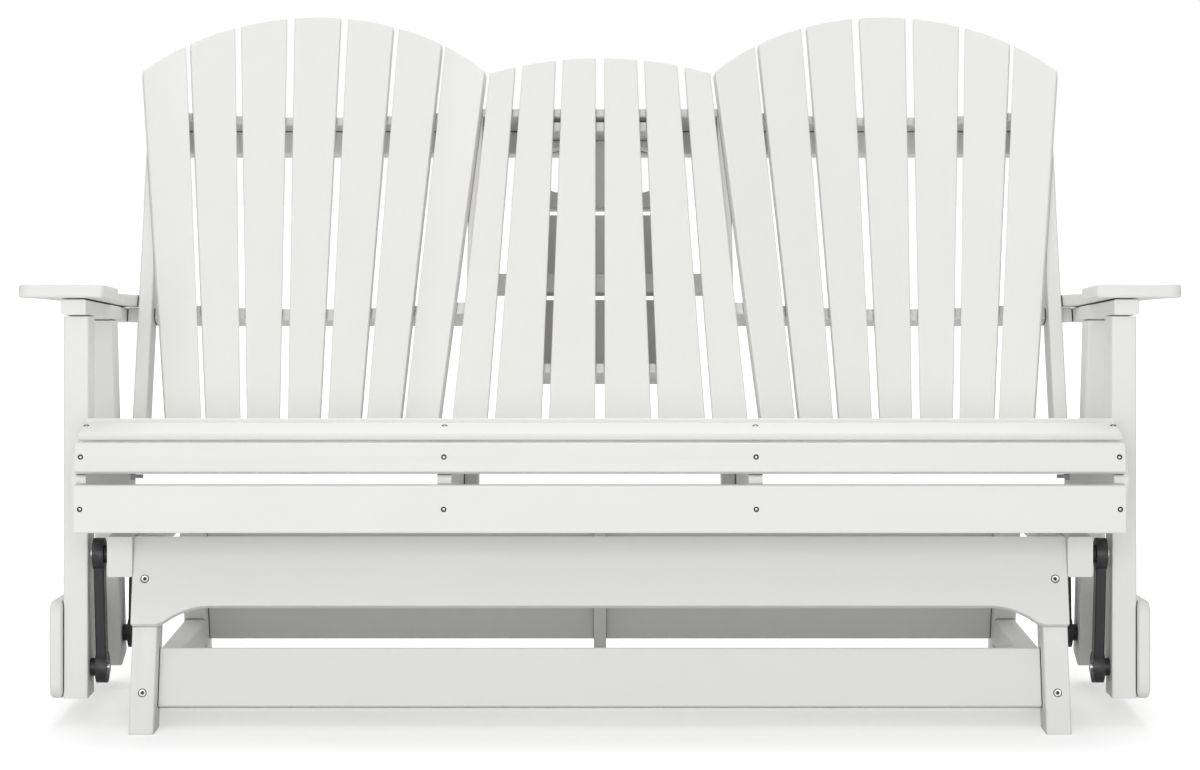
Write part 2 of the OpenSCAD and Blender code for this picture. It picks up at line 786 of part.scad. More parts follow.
// Places of the screws that hold the slats on the stringers
module seat_screw_places() {
  for (x = screw_x) {
    translate([x, 0, apron_z + apron_h / 2]) children();
    nose_frame() translate([x, -board_t, -nose_slat_w / 2]) children();
    front_slat_frame() translate([x + sign(x) * 2.5, -front_screw_in, 0]) rotate([-90, 0, 0]) children();
    for (i = [0:seat_slat_n - 1]) seat_frame()
      translate([x, i * (seat_slat_w + seat_gap) + seat_slat_w / 2, 0]) rotate([-90, 0, 0]) children();
  }
}

// Side view of a stringer, its top following the undersides of the slats
module stringer_outline() {
  seat_t = board_t + slat_seat;
  nose_low_y = nose_back_y + slat_seat - nose_slat_w * sin(nose_slat_tilt);
  nose_low_z = nose_back_z - nose_slat_w * cos(nose_slat_tilt);
  a_front_y = crest_y - front_slat_w * cos(front_slat_tilt) + seat_t * sin(front_slat_tilt);
  a_front_z = front_slat_z - front_slat_w * sin(front_slat_tilt) - seat_t * cos(front_slat_tilt);
  a_rear_y = crest_y + seat_t * sin(front_slat_tilt);
  a_rear_z = front_slat_z - seat_t * cos(front_slat_tilt);
  step_y = a_rear_y + 0.6;
  under_z = crest_z - seat_t * cos(seat_slope);
  under_y = seat_start_y - seat_t * sin(seat_slope);
  polygon([
    [board_t, apron_z + 5], [stringer_rear_y, apron_z + 5],
    [stringer_rear_y, under_z - (stringer_rear_y - under_y) * tan(seat_slope)],
    [step_y, under_z - (step_y - under_y) * tan(seat_slope)],
    [step_y, a_rear_z + 0.6 * tan(front_slat_tilt)],
    [a_front_y, a_front_z],
    [nose_back_y - 1, a_front_z - (a_front_y - nose_back_y + 1) * tan(front_slat_tilt)],
    [nose_low_y, nose_low_z], [board_t, nose_low_z - 4]
  ]);
}

module stringer(x0, bolted) {
  color(white_board) difference() {
    translate([x0, 0, 0]) rotate([90, 0, 90]) linear_extrude(stringer_t) stringer_outline();
    seat_screw_places() screw_hole(screw_len);
    if (bolted) post_bolt_place() rotate([0, 90, 0]) cylinder(h = 200, r = tie_r + screw_fit, center = true);
  }
}

// Screws stand over the middles of the stringers, the outer ones a little farther out
screw_x = [-(post_x - 14), -(inner_stringer_x + stringer_t / 2), inner_stringer_x + stringer_t / 2, post_x - 14];

module seat_apron() {
  color(white_board) difference() {
    bar_x(-seat_half_w, seat_half_w, board_t / 2, apron_z + apron_h / 2, board_t, apron_h, 0, edge_r);
    seat_screw_places() screw_hole(screw_len);
  }
}

// Frame of the front slat: X along it, -Y to its front edge, its top at Z = 0
module front_slat_frame() {
  translate([0, crest_y, front_slat_z]) rotate([front_slat_tilt, 0, 0]) children();
}

module seat_front_slat() {
  color(white_board) difference() {
    front_slat_frame()
      bar_x(-seat_half_w, seat_half_w, -front_slat_w / 2, -board_t / 2, front_slat_w, board_t, 0, edge_r * 2);
    seat_screw_places() screw_hole(screw_len);
  }
}

// Frame of the nose slat: its back face in the XZ plane, its top edge at the origin
module nose_frame() {
  translate([0, nose_back_y, nose_back_z]) rotate([-nose_slat_tilt, 0, 0]) children();
}

module seat_nose_slat() {
  color(white_board) difference() {
    nose_frame() bar_x(-seat_half_w, seat_half_w, -board_t / 2, -nose_slat_w / 2, board_t, nose_slat_w);
    seat_screw_places() screw_hole(screw_len);
  }
}

module seat_slats() {
  color(white_board) difference() {
    seat_frame() for (i = [0:seat_slat_n - 1])
      bar_x(-seat_half_w, seat_half_w, i * (seat_slat_w + seat_gap) + seat_slat_w / 2, -board_t / 2,
        seat_slat_w, board_t);
    seat_screw_places() screw_hole(screw_len);
  }
}

// Back

module upright(x0, foot_z) {
  color(white_board) difference() {
    intersection() {
      reclined() translate([x0 + upright_t / 2, upright_d / 2, -160])
        linear_extrude(160 + upright_top) round_rect(upright_t, upright_d, edge_r);
      translate([0, -far / 2, foot_z]) cube([far, far * 2, far]);
    }
    fan_hollow_cut();
  }
}

// Places a child on slat k of the fan on the +X side: its back face in the XZ plane,
// its length along Z from the fan's vanishing point
module fan_place(k) {
  reclined() translate([fan_x, 0, fan_apex_v]) rotate([-fan_dip, 0, 0])
    rotate([fan_cone, 0, 0]) rotate([0, 0, k * fan_pitch]) rotate([-fan_cone, 0, 0]) children();
}

// The hollow of the fan, a cone just behind the backs of its slats
module fan_hollow_cut() {
  back = slat_seat + fan_bulge;
  tall = fan_reach + upright_top;
  reclined() translate([fan_x, 0, fan_apex_v]) rotate([fan_cone - fan_dip, 0, 0])
    translate([0, 0, -back / sin(fan_cone)])
      cylinder(h = tall, r1 = 0, r2 = tall * tan(fan_cone), $fn = 360);
}

// Half the gap at a joint, counted in slats from the fan's middle
function fan_half_gap(joint) =
  abs(joint) > fan_half ? fan_edge_in : (fan_gap - (abs(joint) - 0.5) * fan_gap_step) / 2;

// How far a joint lies to -X at the slats' tips, the middle ones most
function fan_shift(joint) = fan_swell * sin(180 * joint / (fan_half + 0.5));

module fan_slat(k) {
  near = fan_reach - fan_ref_v - 110;
  tip = fan_reach + 130;
  left = fan_half_gap(k + 0.5);
  right = fan_half_gap(k - 0.5);
  fan_place(k) rotate([90, 0, 0]) linear_extrude(board_t) polygon([
    [-near * fan_room + left, near], [near * fan_room - right, near],
    [tip * fan_room - right - fan_shift(k - 0.5), tip], [-tip * fan_room + left - fan_shift(k + 0.5), tip]
  ]);
}

// Outline that ends the slats: an arch above, square below
module arch_cut(x, top_v, r, low_v) {
  reclined() translate([x, far / 10, 0]) rotate([90, 0, 0]) linear_extrude(far / 5) {
    translate([0, top_v - r]) circle(r, $fn = 180);
    translate([-r, low_v]) square([2 * r, top_v - r - low_v]);
  }
}

module fan_slats() {
  color(white_board) for (k = [-fan_half:fan_half]) intersection() {
    fan_slat(k);
    arch_cut(fan_x, fan_top_v, fan_top_r, -fan_foot);
  }
}

module back_top_rail() {
  color(white_board) difference() {
    reclined() translate([-back_half_w, 0, upright_top])
      cube([2 * back_half_w, upright_d + board_t, top_rail_t]);
    fan_hollow_cut();
    mirror([1, 0, 0]) fan_hollow_cut();
  }
}

module back_board() {
  color(white_board) reclined() translate([0, upright_d + board_t / 2, upright_top - back_board_h / 2])
    rotate([0, 90, 0]) linear_extrude(2 * back_half_w, center = true)
      round_rect(back_board_h, board_t, edge_r);
}

module cross_rail(v, x0) {
  x1 = post_x - stringer_t - upright_t;
  difference() {
    reclined() translate([x0, 0, v]) cube([x1 - x0, upright_d, cross_rail_t]);
    reclined() translate([x1 - board_t, -1, v - 1]) cube([board_t + 1, rail_step + 1, cross_rail_t + 2]);
    fan_hollow_cut();
  }
}

module back_mid_rails() {
  color(white_board) for (s = [0, 1]) mirror([s, 0, 0]) cross_rail(mid_rail_v, inner_stringer_x);
}

module back_low_rails() {
  color(white_board) for (s = [0, 1]) mirror([s, 0, 0]) cross_rail(-low_rail_drop, inner_stringer_x + stringer_t);
}

// Folding table

module table_slat(i) {
  w = i < table_n - 1 ? table_slat_w : table_end_w;
  before = i * table_slat_w;
  tip_v = table_top_v + 20;
  k0 = (table_reach - table_ref_drop - hinge_v) / table_reach;
  k1 = (table_reach - table_ref_drop - tip_v) / table_reach;
  gap = table_mid_gap + i * table_slat_gap;
  reclined() translate([0, -table_clear, 0]) rotate([90, 0, 0]) linear_extrude(board_t) polygon([
    [gap + before * k0, hinge_v], [gap + (before + w) * k0, hinge_v],
    [gap + (before + w) * k1, tip_v], [gap + before * k1, tip_v]
  ]);
}

module table_slats() {
  color(white_board) for (s = [0, 1], i = [0:table_n - 1]) mirror([s, 0, 0]) intersection() {
    table_slat(i);
    arch_cut(0, table_top_v, table_top_r, hinge_v - 1);
  }
}

// Two end battens, and a flat one in front of the boards with packers out to the slats
module table_battens() {
  wide = inner_stringer_x - upright_t - flat_batten_gap;
  color(white_board) reclined() {
    for (v = [table_low_v, table_high_v - batten_t])
      translate([-table_half_w, -table_clear, v]) cube([2 * table_half_w, batten_d, batten_t]);
    translate([-wide, board_face - board_t, flat_batten_v]) cube([2 * wide, board_t, flat_batten_w]);
    for (x = [-wide, wide - packer_w]) translate([x, -table_clear, flat_batten_v])
      cube([packer_w, batten_d, flat_batten_w]);
  }
}

// Stiles that carry the table boards, notched behind for the flat batten
module table_stiles() {
  color(white_board) reclined() for (s = [0, 1]) mirror([s, 0, 0]) difference() {
    translate([stile_x, -table_clear, table_low_v + batten_t])
      cube([board_t, batten_d, table_high_v - table_low_v - 2 * batten_t]);
    translate([stile_x - 1, board_face - board_t, flat_batten_v]) cube([board_t + 2, board_t + 1, flat_batten_w]);
  }
}

module table_board(i) {
  w = i == 0 ? table_low_w : table_board_w;
  v = i == 0 ? table_low_v + w / 2 : table_high_v - w / 2 - (2 - i) * (w + table_board_gap);
  reclined() translate([0, board_face + table_board_t / 2, v]) rotate([0, 90, 0])
    linear_extrude(2 * table_half_w, center = true) round_rect(w, table_board_t, edge_r);
}

module table_boards() {
  color(white_board) for (i = [0, 1]) table_board(i);
}

module table_cup_board() {
  color(white_board) difference() {
    table_board(2);
    for (x = [-cup_x, cup_x]) reclined() translate([x, board_face - 5, table_high_v - cup_in])
      rotate([-90, 0, 0]) cylinder(h = table_board_t + 10, r = cup_r, $fn = 96);
  }
}

// Child drawn about the hinge axis: +Y along the seat to the back, Z square to the seat
module hinge_on_seat() {
  translate([0, hinge_y, hinge_z]) rotate([-seat_slope, 0, 0]) children();
}

// The same about the axis for the table's slats: Z up the back
module hinge_on_slats() {
  translate([0, hinge_y, hinge_z]) rotate([-recline, 0, 0]) children();
}

module knuckle(x0, x1) {
  translate([x0, 0, 0]) rotate([0, 90, 0]) cylinder(h = x1 - x0, r = knuckle_r);
}

third = hinge_len / 3;

module hinge_fixed_leaves() {
  color(bright_steel) for (s = [-1, 1]) hinge_on_seat() translate([s * hinge_x - hinge_len / 2, 0, 0])
    difference() {
      union() {
        for (x = [0, hinge_len - third]) {
          knuckle(x, x + third);
          translate([x, -8, -hinge_rise + leaf_seat]) cube([third, 8, leaf_t]);
        }
        translate([0, -leaf_reach, -hinge_rise + leaf_seat]) cube([hinge_len, leaf_w, leaf_t]);
      }
      translate([-1, 0, 0]) rotate([0, 90, 0]) cylinder(h = hinge_len + 2, r = hinge_pin_r + screw_fit);
    }
}

module hinge_moving_leaves() {
  color(bright_steel) for (s = [-1, 1]) hinge_on_slats() translate([s * hinge_x - hinge_len / 2, 0, 0])
    difference() {
      union() {
        knuckle(third + leaf_gap, 2 * third - leaf_gap);
        translate([third + leaf_gap, hinge_face - leaf_t, 0]) cube([third - 2 * leaf_gap, leaf_t, 8]);
        translate([0, hinge_face - leaf_t, leaf_reach - leaf_w]) cube([hinge_len, leaf_t, leaf_up]);
      }
      translate([-1, 0, 0]) rotate([0, 90, 0]) cylinder(h = hinge_len + 2, r = hinge_pin_r + bearing_fit);
    }
}

module hinge_pins() {
  color(bright_steel) for (s = [-1, 1]) hinge_on_seat() translate([s * hinge_x - hinge_len / 2, 0, 0])
    rotate([0, 90, 0]) cylinder(h = hinge_len, r = hinge_pin_r);
}

module seat_screws() {
  color(bright_steel) seat_screw_places() screw(screw_len);
}

placed() left_side() base_leg();  // base_leg_front_left
placed() right_side() base_leg();  // base_leg_front_right
placed() left_side() rear_half() base_leg();  // base_leg_rear_left
placed() right_side() rear_half() base_leg();  // base_leg_rear_right
placed() skirt();  // base_front_skirt
placed() rear_half() skirt();  // base_rear_skirt
placed() stretcher();  // base_front_stretcher
placed() rear_stretcher();  // base_rear_stretcher
placed() both_sides() base_low_rail();  // base_low_rails
placed() left_side() hanger_rail();  // hanger_rail_left
placed() right_side() hanger_rail();  // hanger_rail_right
placed() base_centre_leg();
placed() base_screws();
placed() hanger_bolts();
placed() hanger_collars();
placed() left_side() glide_arm(false);  // glide_arm_front_left
placed() right_side() glide_arm(false);  // glide_arm_front_right
placed() left_side() glide_arm(true);  // glide_arm_rear_left
placed() right_side() glide_arm(true);  // glide_arm_rear_right
placed() left_side() bearings(false);  // bearings_front_left
placed() right_side() bearings(false);  // bearings_front_right
placed() left_side() bearings(true);  // bearings_rear_left
placed() right_side() bearings(true);  // bearings_rear_right
placed() left_side() post(false);  // front_post_left
placed() right_side() post(false);  // front_post_right
placed() left_side() post(true);  // rear_post_left
placed() right_side() post(true);  // rear_post_right
placed() both_sides() lower_side_board();  // lower_side_boards
placed() both_sides() arm_rail();  // arm_rails
placed() arm_blocks();
placed() left_side() armrest();  // armrest_left
placed() right_side() armrest();  // armrest_right
placed() both_sides() stringer(post_x - stringer_t, true);  // outer_stringers
placed() both_sides() stringer(inner_stringer_x, false);  // inner_stringers
placed() seat_apron();
placed() seat_nose_slat();
placed() seat_front_slat();
placed() seat_slats();
placed() left_side() upright(post_x - stringer_t - upright_t, outer_foot_z);  // outer_upright_left
placed() right_side() upright(post_x - stringer_t - upright_t, outer_foot_z);  // outer_upright_right
placed() left_side() upright(inner_stringer_x - upright_t, inner_foot_z);  // inner_upright_left
placed() right_side() upright(inner_stringer_x - upright_t, inner_foot_z);  // inner_upright_right
placed() back_top_rail();
placed() back_board();
placed() back_mid_rails();
placed() back_low_rails();
placed() left_side() fan_slats();  // fan_slats_left
placed() right_side() fan_slats();  // fan_slats_right
placed() seat_screws();
placed() post_bolts();
placed() pivot_bolts();
placed() pivot_collars();
placed() hinge_fixed_leaves();
placed() hinge_pins();
placed() table_slats();
placed() table_battens();
placed() table_stiles();
placed() table_cup_board();
placed() table_boards();
placed() hinge_moving_leaves();
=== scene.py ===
import math
import bmesh
import bpy
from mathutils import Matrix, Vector


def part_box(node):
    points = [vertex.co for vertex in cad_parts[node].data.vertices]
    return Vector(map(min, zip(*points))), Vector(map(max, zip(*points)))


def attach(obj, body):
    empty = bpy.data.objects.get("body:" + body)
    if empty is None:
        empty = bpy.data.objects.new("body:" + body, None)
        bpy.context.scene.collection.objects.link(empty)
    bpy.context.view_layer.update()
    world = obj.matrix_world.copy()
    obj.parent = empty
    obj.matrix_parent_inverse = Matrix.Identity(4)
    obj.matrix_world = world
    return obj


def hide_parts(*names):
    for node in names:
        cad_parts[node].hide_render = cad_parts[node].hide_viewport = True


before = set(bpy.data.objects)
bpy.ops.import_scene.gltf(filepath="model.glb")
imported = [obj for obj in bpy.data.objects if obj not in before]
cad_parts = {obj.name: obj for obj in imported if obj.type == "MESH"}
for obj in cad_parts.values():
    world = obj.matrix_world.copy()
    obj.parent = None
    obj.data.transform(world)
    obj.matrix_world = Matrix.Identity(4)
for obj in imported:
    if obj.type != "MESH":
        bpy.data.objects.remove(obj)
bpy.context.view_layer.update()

# The photograph: a camera in front of the middle, turned down a little. Its pitch and its shift
# together put the horizon where the photo has it
CAMERA_PLACE = (0.0, -4.999, 0.870)
CAMERA_PITCH = math.radians(2.868)
SENSOR_MM = 36.0
LENS_MM = 98.97
SHIFT_Y = -95 / 1200
CLIP_END = 60.0

# Colours and finishes
WHITE = (0.805, 0.803, 0.785)
# Near black of the painted shade in narrow joints
CREVICE_SHADE_COLOUR = (0.05, 0.05, 0.045, 1.0)
BOARD_SPECULAR = 0.45
BOARD_ROUGHNESS = (0.42, 0.56)
BOARD_RELIEF = 0.06
BOARD_RELIEF_DEPTH = 0.0004
BOARD_TONES = (0.98, 1.01)
BOARD_STREAKS = 0.025
METAL_TONES = (0.85, 1.15)
METAL_RELIEF = 0.08
COAT_RELIEF = 0.25
METAL_RELIEF_DEPTH = 0.0003

# Noise patterns: the boards' blotches, drawn lines and skin, and the metals' grain and wear
MOTTLE = {"Scale": 7.0, "Detail": 3.0, "Roughness": 0.6}
DRAWN_LINES = {"Scale": 420.0, "Detail": 4.0, "Roughness": 0.65}
SKIN = {"Scale": 1600.0, "Detail": 2.0, "Roughness": 0.5}
METAL_GRAIN = {"Scale": 900.0, "Detail": 3.0, "Roughness": 0.6}
COAT_GRAIN = {"Scale": 1400.0, "Detail": 3.0, "Roughness": 0.6}
METAL_WEAR = {"Scale": 35.0, "Detail": 4.0, "Roughness": 0.65}

# Directions of the drawn lines: a board's own length is turned onto the material's Z
RECLINE = math.radians(23.4)
ALONG_X = (0.0, math.radians(90), 0.0)
ALONG_Y = (math.radians(90), 0.0, 0.0)
UP_BACK = (RECLINE, 0.0, 0.0)
UPRIGHT = (0.0, 0.0, 0.0)
LINE_STRETCH = (1.0, 1.0, 0.035)

# Painted shade in narrow joints: their width, the open share of the surroundings at full shade and at none,
# and the share of the board's own colour that is left there
CREVICE = 0.0035
CREVICE_SAMPLES = 8
CREVICE_OPEN = (0.30, 0.85)
CREVICE_LEFT = (0.12, 1.0)

# Sockets of the colour Mix node
MIX_A = 6
MIX_B = 7
MIX_RESULT = 2

# Meshes: points closer than this are one, and the angles that count as flat, as an edge and as smooth
WELD = 0.00002
FLAT_ANGLE = math.radians(0.6)
EDGE_ANGLE = math.radians(35)
SMOOTH_ANGLE = math.radians(40)
EASE_SEGMENTS = 3

# The photographed front slat is flatter than its seat on the stringers: its top falls by the first angle
FRONT_SLAT_FALL = math.radians(7.0)
STRINGER_FALL = math.radians(13.0)
FRONT_SLAT_W = 0.076
FRONT_SLAT_T = 0.019
NOSE_R = 0.0032
NOSE_SEGMENTS = 4
NOSE_DEPTH = 0.0105
CHIN_IN = 0.0015
NOTCH_IN = 0.0095
NOTCH_UP = 0.0006
ON_SLAT = 0.002

# A sunk screw from its shank up: share of the head's radius, depth in metres, lobes, and which of the
# two materials lies above it: 0 is near-black painted shade on the hole's wall, rim and drive, 1 is bright
# steel
SEAT_SCREW_RINGS = [
    (0.45, -0.0120, 0.0, 0), (0.45, -0.0024, 0.0, 0), (1.00, -0.0024, 0.0, 0), (1.00, -0.0006, 0.0, 0),
    (0.95, -0.0003, 0.0, 0), (0.40, -0.0009, 0.0, 1), (0.16, -0.0006, 0.05, 1), (0.12, -0.0008, 0.05, 1),
]
BASE_SCREW_RINGS = [
    (0.45, -0.0120, 0.0, 0), (0.45, -0.0024, 0.0, 0), (1.00, -0.0024, 0.0, 0), (1.00, -0.0010, 0.0, 0),
    (0.80, -0.0004, 0.0, 1), (0.52, -0.0009, 0.0, 1), (0.40, -0.0005, 0.12, 0), (0.30, -0.0014, 0.12, 1),
]
SCREW_SIDES = 24
DRIVE_LOBES = 6

# The floor's half width, its colour, and its glow toward the camera near the object and far from it
FLOOR_HALF = 30.0
FLOOR_COLOUR = (0.90, 0.90, 0.90, 1.0)
FLOOR_ROUGHNESS = 0.9
FLOOR_GLOW = (0.38, 0.80)
GLOW_REACH = (1.2, 6.0)
PURE_WHITE = (1.0, 1.0, 1.0, 1.0)
FILL = 0.48

# Soft lamps: name, place, what it aims at, width and height in metres, watts
LAMPS = [
    ("front", (-0.5, -7.5, 1.6), (0, 0, 0.55), (5.0, 3.0), 205),
    ("key", (-1.6, -3.2, 3.6), (0, 0, 0.4), (3.0, 2.0), 12),
    ("top", (0.0, 0.6, 4.2), (0, 0, 0.4), (4.0, 2.5), 60),
    ("rear_top", (0.0, 2.2, 4.0), (0, -0.2, 0.4), (3.5, 1.5), 40),
]

# Which finish each node takes, by the start of its name
FINISH = [
    ("base_leg", "up"), ("base_centre_leg", "up"), ("base_low_rails", "y"), ("base_screws", "steel"),
    ("base_", "x"), ("hanger_rail", "y"), ("hanger_bolts", "steel"), ("hanger_collars", "black"),
    ("glide_arm", "black"), ("bearings", "bearing"), ("front_post", "up"), ("rear_post", "up"),
    ("lower_side", "y"), ("arm_", "y"), ("armrest", "y"), ("outer_stringer", "y"),
    ("inner_stringer", "y"), ("seat_screws", "steel"), ("seat_", "x"), ("outer_upright", "back"),
    ("inner_upright", "back"), ("back_", "x"), ("fan_slats", "back"), ("post_bolts", "steel"),
    ("pivot_bolts", "steel"), ("pivot_collars", "black"), ("hinge_", "steel"),
    ("table_slats", "back"), ("table_stiles", "back"), ("table_", "x"),
]

# Width in metres of the eased edges, by the start of the node's name
EASE = [
    ("fan_slats", 0.0026), ("table_slats", 0.0026), ("armrest", 0.0035), ("back_top_rail", 0.004),
    ("back_", 0.003), ("table_", 0.0028), ("lower_side", 0.005), ("outer_stringer", 0.003),
    ("inner_stringer", 0.003), ("base_front_skirt", 0.0045), ("base_rear_skirt", 0.0045),
    ("base_", 0.0022), ("hanger_rail", 0.0022), ("front_post", 0.0016), ("rear_post", 0.0016),
    ("seat_", 0.0022), ("arm_", 0.0012), ("outer_up", 0.0022), ("inner_up", 0.0022),
    ("glide_arm", 0.0035), ("hinge_", 0.0004),
]


def first_match(table, name):
    return next((value for start, value in table if name.startswith(start)), None)


def link_object(obj):
    bpy.context.scene.collection.objects.link(obj)


# Materials

def node(tree, kind, **values):
    """A new node, with each value set on the input of that name or else as a setting."""
    n = tree.nodes.new(kind)
    for key, value in values.items():
        if key in n.inputs:
            n.inputs[key].default_value = value
        else:
            setattr(n, key, value)
    return n


def new_material(name):
    mat = bpy.data.materials.new(name)
    mat.use_nodes = True
    return mat, mat.node_tree, mat.node_tree.nodes["Principled BSDF"]


def remap(t, value, start, end, low=0.0, high=1.0, **settings):
    """Carries a value in the range low to high over to the range start to end."""
    n = node(t, "ShaderNodeMapRange", **settings)
    n.inputs["From Min"].default_value = low
    n.inputs["From Max"].default_value = high
    n.inputs["To Min"].default_value = start
    n.inputs["To Max"].default_value = end
    t.links.new(value, n.inputs["Value"])
    return n.outputs["Result"]


def noise(t, vector, values):
    """A noise pattern over the given coordinates."""
    n = node(t, "ShaderNodeTexNoise", **values)
    t.links.new(vector, n.inputs["Vector"])
    return n


def two_tone(t, colour, shares, pattern):
    """A colour that goes from a darker to a lighter share of itself by a pattern."""
    tone = node(t, "ShaderNodeMix", data_type="RGBA", blend_type="MIX")
    for socket, share in zip((MIX_A, MIX_B), shares):
        tone.inputs[socket].default_value = (*[c * share for c in colour], 1.0)
    t.links.new(pattern, tone.inputs["Factor"])
    return tone.outputs[MIX_RESULT]


def relief(t, bsdf, height, strength, depth):
    bumped = node(t, "ShaderNodeBump", Strength=strength, Distance=depth)
    t.links.new(height, bumped.inputs["Height"])
    t.links.new(bumped.outputs["Normal"], bsdf.inputs["Normal"])


def painted_crevice_shade(t, colour):
    """Painted shade: darkens a colour in the narrow joints between boards, where little light reaches."""
    closed = node(t, "ShaderNodeAmbientOcclusion", samples=CREVICE_SAMPLES, Distance=CREVICE)
    shade = remap(t, closed.outputs["AO"], *CREVICE_LEFT, *CREVICE_OPEN)
    dark = node(t, "ShaderNodeMix", data_type="RGBA", blend_type="MIX")
    dark.inputs[MIX_A].default_value = CREVICE_SHADE_COLOUR
    t.links.new(shade, dark.inputs["Factor"])
    t.links.new(colour, dark.inputs[MIX_B])
    return dark.outputs[MIX_RESULT]


def lumber(name, turn):
    """Solid plastic lumber: faint mottling, drawn lines along the board, fine matte skin, and painted shade
    in the joints.
    """
    mat, t, bsdf = new_material(name)
    bsdf.inputs["Specular IOR Level"].default_value = BOARD_SPECULAR
    coords = node(t, "ShaderNodeTexCoord")
    turned = node(t, "ShaderNodeMapping", Rotation=turn)
    stretched = node(t, "ShaderNodeMapping", Scale=LINE_STRETCH)
    t.links.new(coords.outputs["Object"], turned.inputs["Vector"])
    t.links.new(turned.outputs["Vector"], stretched.inputs["Vector"])

    mottle = noise(t, turned.outputs["Vector"], MOTTLE)
    lines = noise(t, stretched.outputs["Vector"], DRAWN_LINES)
    skin = noise(t, turned.outputs["Vector"], SKIN)

    tone = two_tone(t, WHITE, BOARD_TONES, mottle.outputs["Fac"])
    streak = node(t, "ShaderNodeMix", data_type="RGBA", blend_type="MULTIPLY")
    streak.inputs["Factor"].default_value = BOARD_STREAKS
    t.links.new(tone, streak.inputs[MIX_A])
    t.links.new(lines.outputs["Color"], streak.inputs[MIX_B])
    # The board's colour takes painted shade in its narrow joints
    t.links.new(painted_crevice_shade(t, streak.outputs[MIX_RESULT]), bsdf.inputs["Base Color"])
    t.links.new(remap(t, lines.outputs["Fac"], *BOARD_ROUGHNESS), bsdf.inputs["Roughness"])

    height = node(t, "ShaderNodeMath", operation="ADD")
    t.links.new(lines.outputs["Fac"], height.inputs[0])
    t.links.new(skin.outputs["Fac"], height.inputs[1])
    relief(t, bsdf, height.outputs["Value"], BOARD_RELIEF, BOARD_RELIEF_DEPTH)
    return mat


def metal(name, colour, metallic, rough, fine=METAL_GRAIN, bump=METAL_RELIEF):
    """Coated or bare metal with a fine grain in its gloss and relief."""
    mat, t, bsdf = new_material(name)
    bsdf.inputs["Metallic"].default_value = metallic
    coords = node(t, "ShaderNodeTexCoord")
    grain = noise(t, coords.outputs["Object"], fine)
    wear = noise(t, coords.outputs["Object"], METAL_WEAR)
    t.links.new(two_tone(t, colour, METAL_TONES, wear.outputs["Fac"]), bsdf.inputs["Base Color"])
    t.links.new(remap(t, grain.outputs["Fac"], *rough), bsdf.inputs["Roughness"])
    relief(t, bsdf, grain.outputs["Fac"], bump, METAL_RELIEF_DEPTH)
    return mat


mats = {
    "x": lumber("lumber_along_x", ALONG_X),
    "y": lumber("lumber_along_y", ALONG_Y),
    "back": lumber("lumber_up_the_back", UP_BACK),
    "up": lumber("lumber_upright", UPRIGHT),
    "steel": metal("stainless_steel", (0.58, 0.58, 0.60), 1.0, (0.22, 0.42)),
    "black": metal("black_powder_coat", (0.018, 0.018, 0.020), 0.0, (0.34, 0.52), COAT_GRAIN, COAT_RELIEF),
    # Near black for the painted shade in sunk screw holes, on their rims and in their drives
    "painted_hole_shade": metal("painted_hole_shade", (0.012, 0.012, 0.014), 0.2, (0.45, 0.6)),
    "bright_steel": metal("bright_steel", (0.80, 0.80, 0.80), 0.55, (0.30, 0.45)),
    "bearing": metal("turned_bearing", (0.45, 0.45, 0.46), 1.0, (0.25, 0.40)),
}


# The CAD pieces in their finishes

def soften(obj, width):
    """Eased edges: the mesh is welded and its flats cleaned before its sharp edges are rounded."""
    weld = obj.modifiers.new("weld", "WELD")
    weld.merge_threshold = WELD
    flats = obj.modifiers.new("flats", "DECIMATE")
    flats.decimate_type = "DISSOLVE"
    flats.angle_limit = FLAT_ANGLE
    ease = obj.modifiers.new("ease", "BEVEL")
    ease.width = width
    ease.segments = EASE_SEGMENTS
    ease.limit_method = "ANGLE"
    ease.angle_limit = EDGE_ANGLE
    ease.harden_normals = True


def dress():
    """Gives each node its finish, and each board its eased edges."""
    for name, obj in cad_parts.items():
        finish = mats[first_match(FINISH, name)]
        if not obj.data.materials:
            obj.data.materials.append(finish)
        for s in obj.material_slots:
            s.material = finish
        width = first_match(EASE, name)
        if width and "screw" not in name and "bolt" not in name:
            soften(obj, width)


# Pieces of the scene that stand for a CAD piece

def finish_piece(bm, name, node_name, body, materials):
    """Turns a mesh into a piece that stands for a node and rides on its body."""
    mesh = bpy.data.meshes.new(name)
    bm.to_mesh(mesh)
    bm.free()
    for material in materials:
        mesh.materials.append(material)
    for face in mesh.polygons:
        face.use_smooth = True
    mesh.set_sharp_from_angle(angle=SMOOTH_ANGLE)
    piece = bpy.data.objects.new(name, mesh)
    link_object(piece)
    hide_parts(node_name)
    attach(piece, body)


def head_of(island):
    """Centre, outward direction and radius of one screw's head, which is its widest flat."""
    flats = {}
    for face in island:
        # Faces of one flat share their direction and, to 1 mm, their distance from the origin
        direction = tuple(round(v, 2) for v in face.normal)
        distance = round(face.normal.dot(face.calc_center_median()), 3)
        flats.setdefault((direction, distance), []).append(face)
    cap = max(flats.values(), key=lambda faces: sum(f.calc_area() for f in faces))
    # Each point once and always in the same order, so that every run gives the same sum
    verts = dict.fromkeys(v for f in cap for v in f.verts)
    centre = sum((v.co for v in verts), Vector()) / len(verts)
    radius = max((v.co - centre).length for v in verts)
    return centre, cap[0].normal.copy(), radius


def screw_heads(node_name):
    """The heads of all screws in a node, read from its mesh."""
    bm = bmesh.new()
    bm.from_mesh(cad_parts[node_name].data)
    bmesh.ops.remove_doubles(bm, verts=bm.verts, dist=WELD)
    seen, heads = set(), []
    for start in bm.faces:
        if start in seen:
            continue
        island, queue = [], [start]
        seen.add(start)
        while queue:
            face = queue.pop()
            island.append(face)
            for near in (f for e in face.edges for f in e.link_faces if f not in seen):
                seen.add(near)
                queue.append(near)
        heads.append(head_of(island))
    bm.free()
    return heads


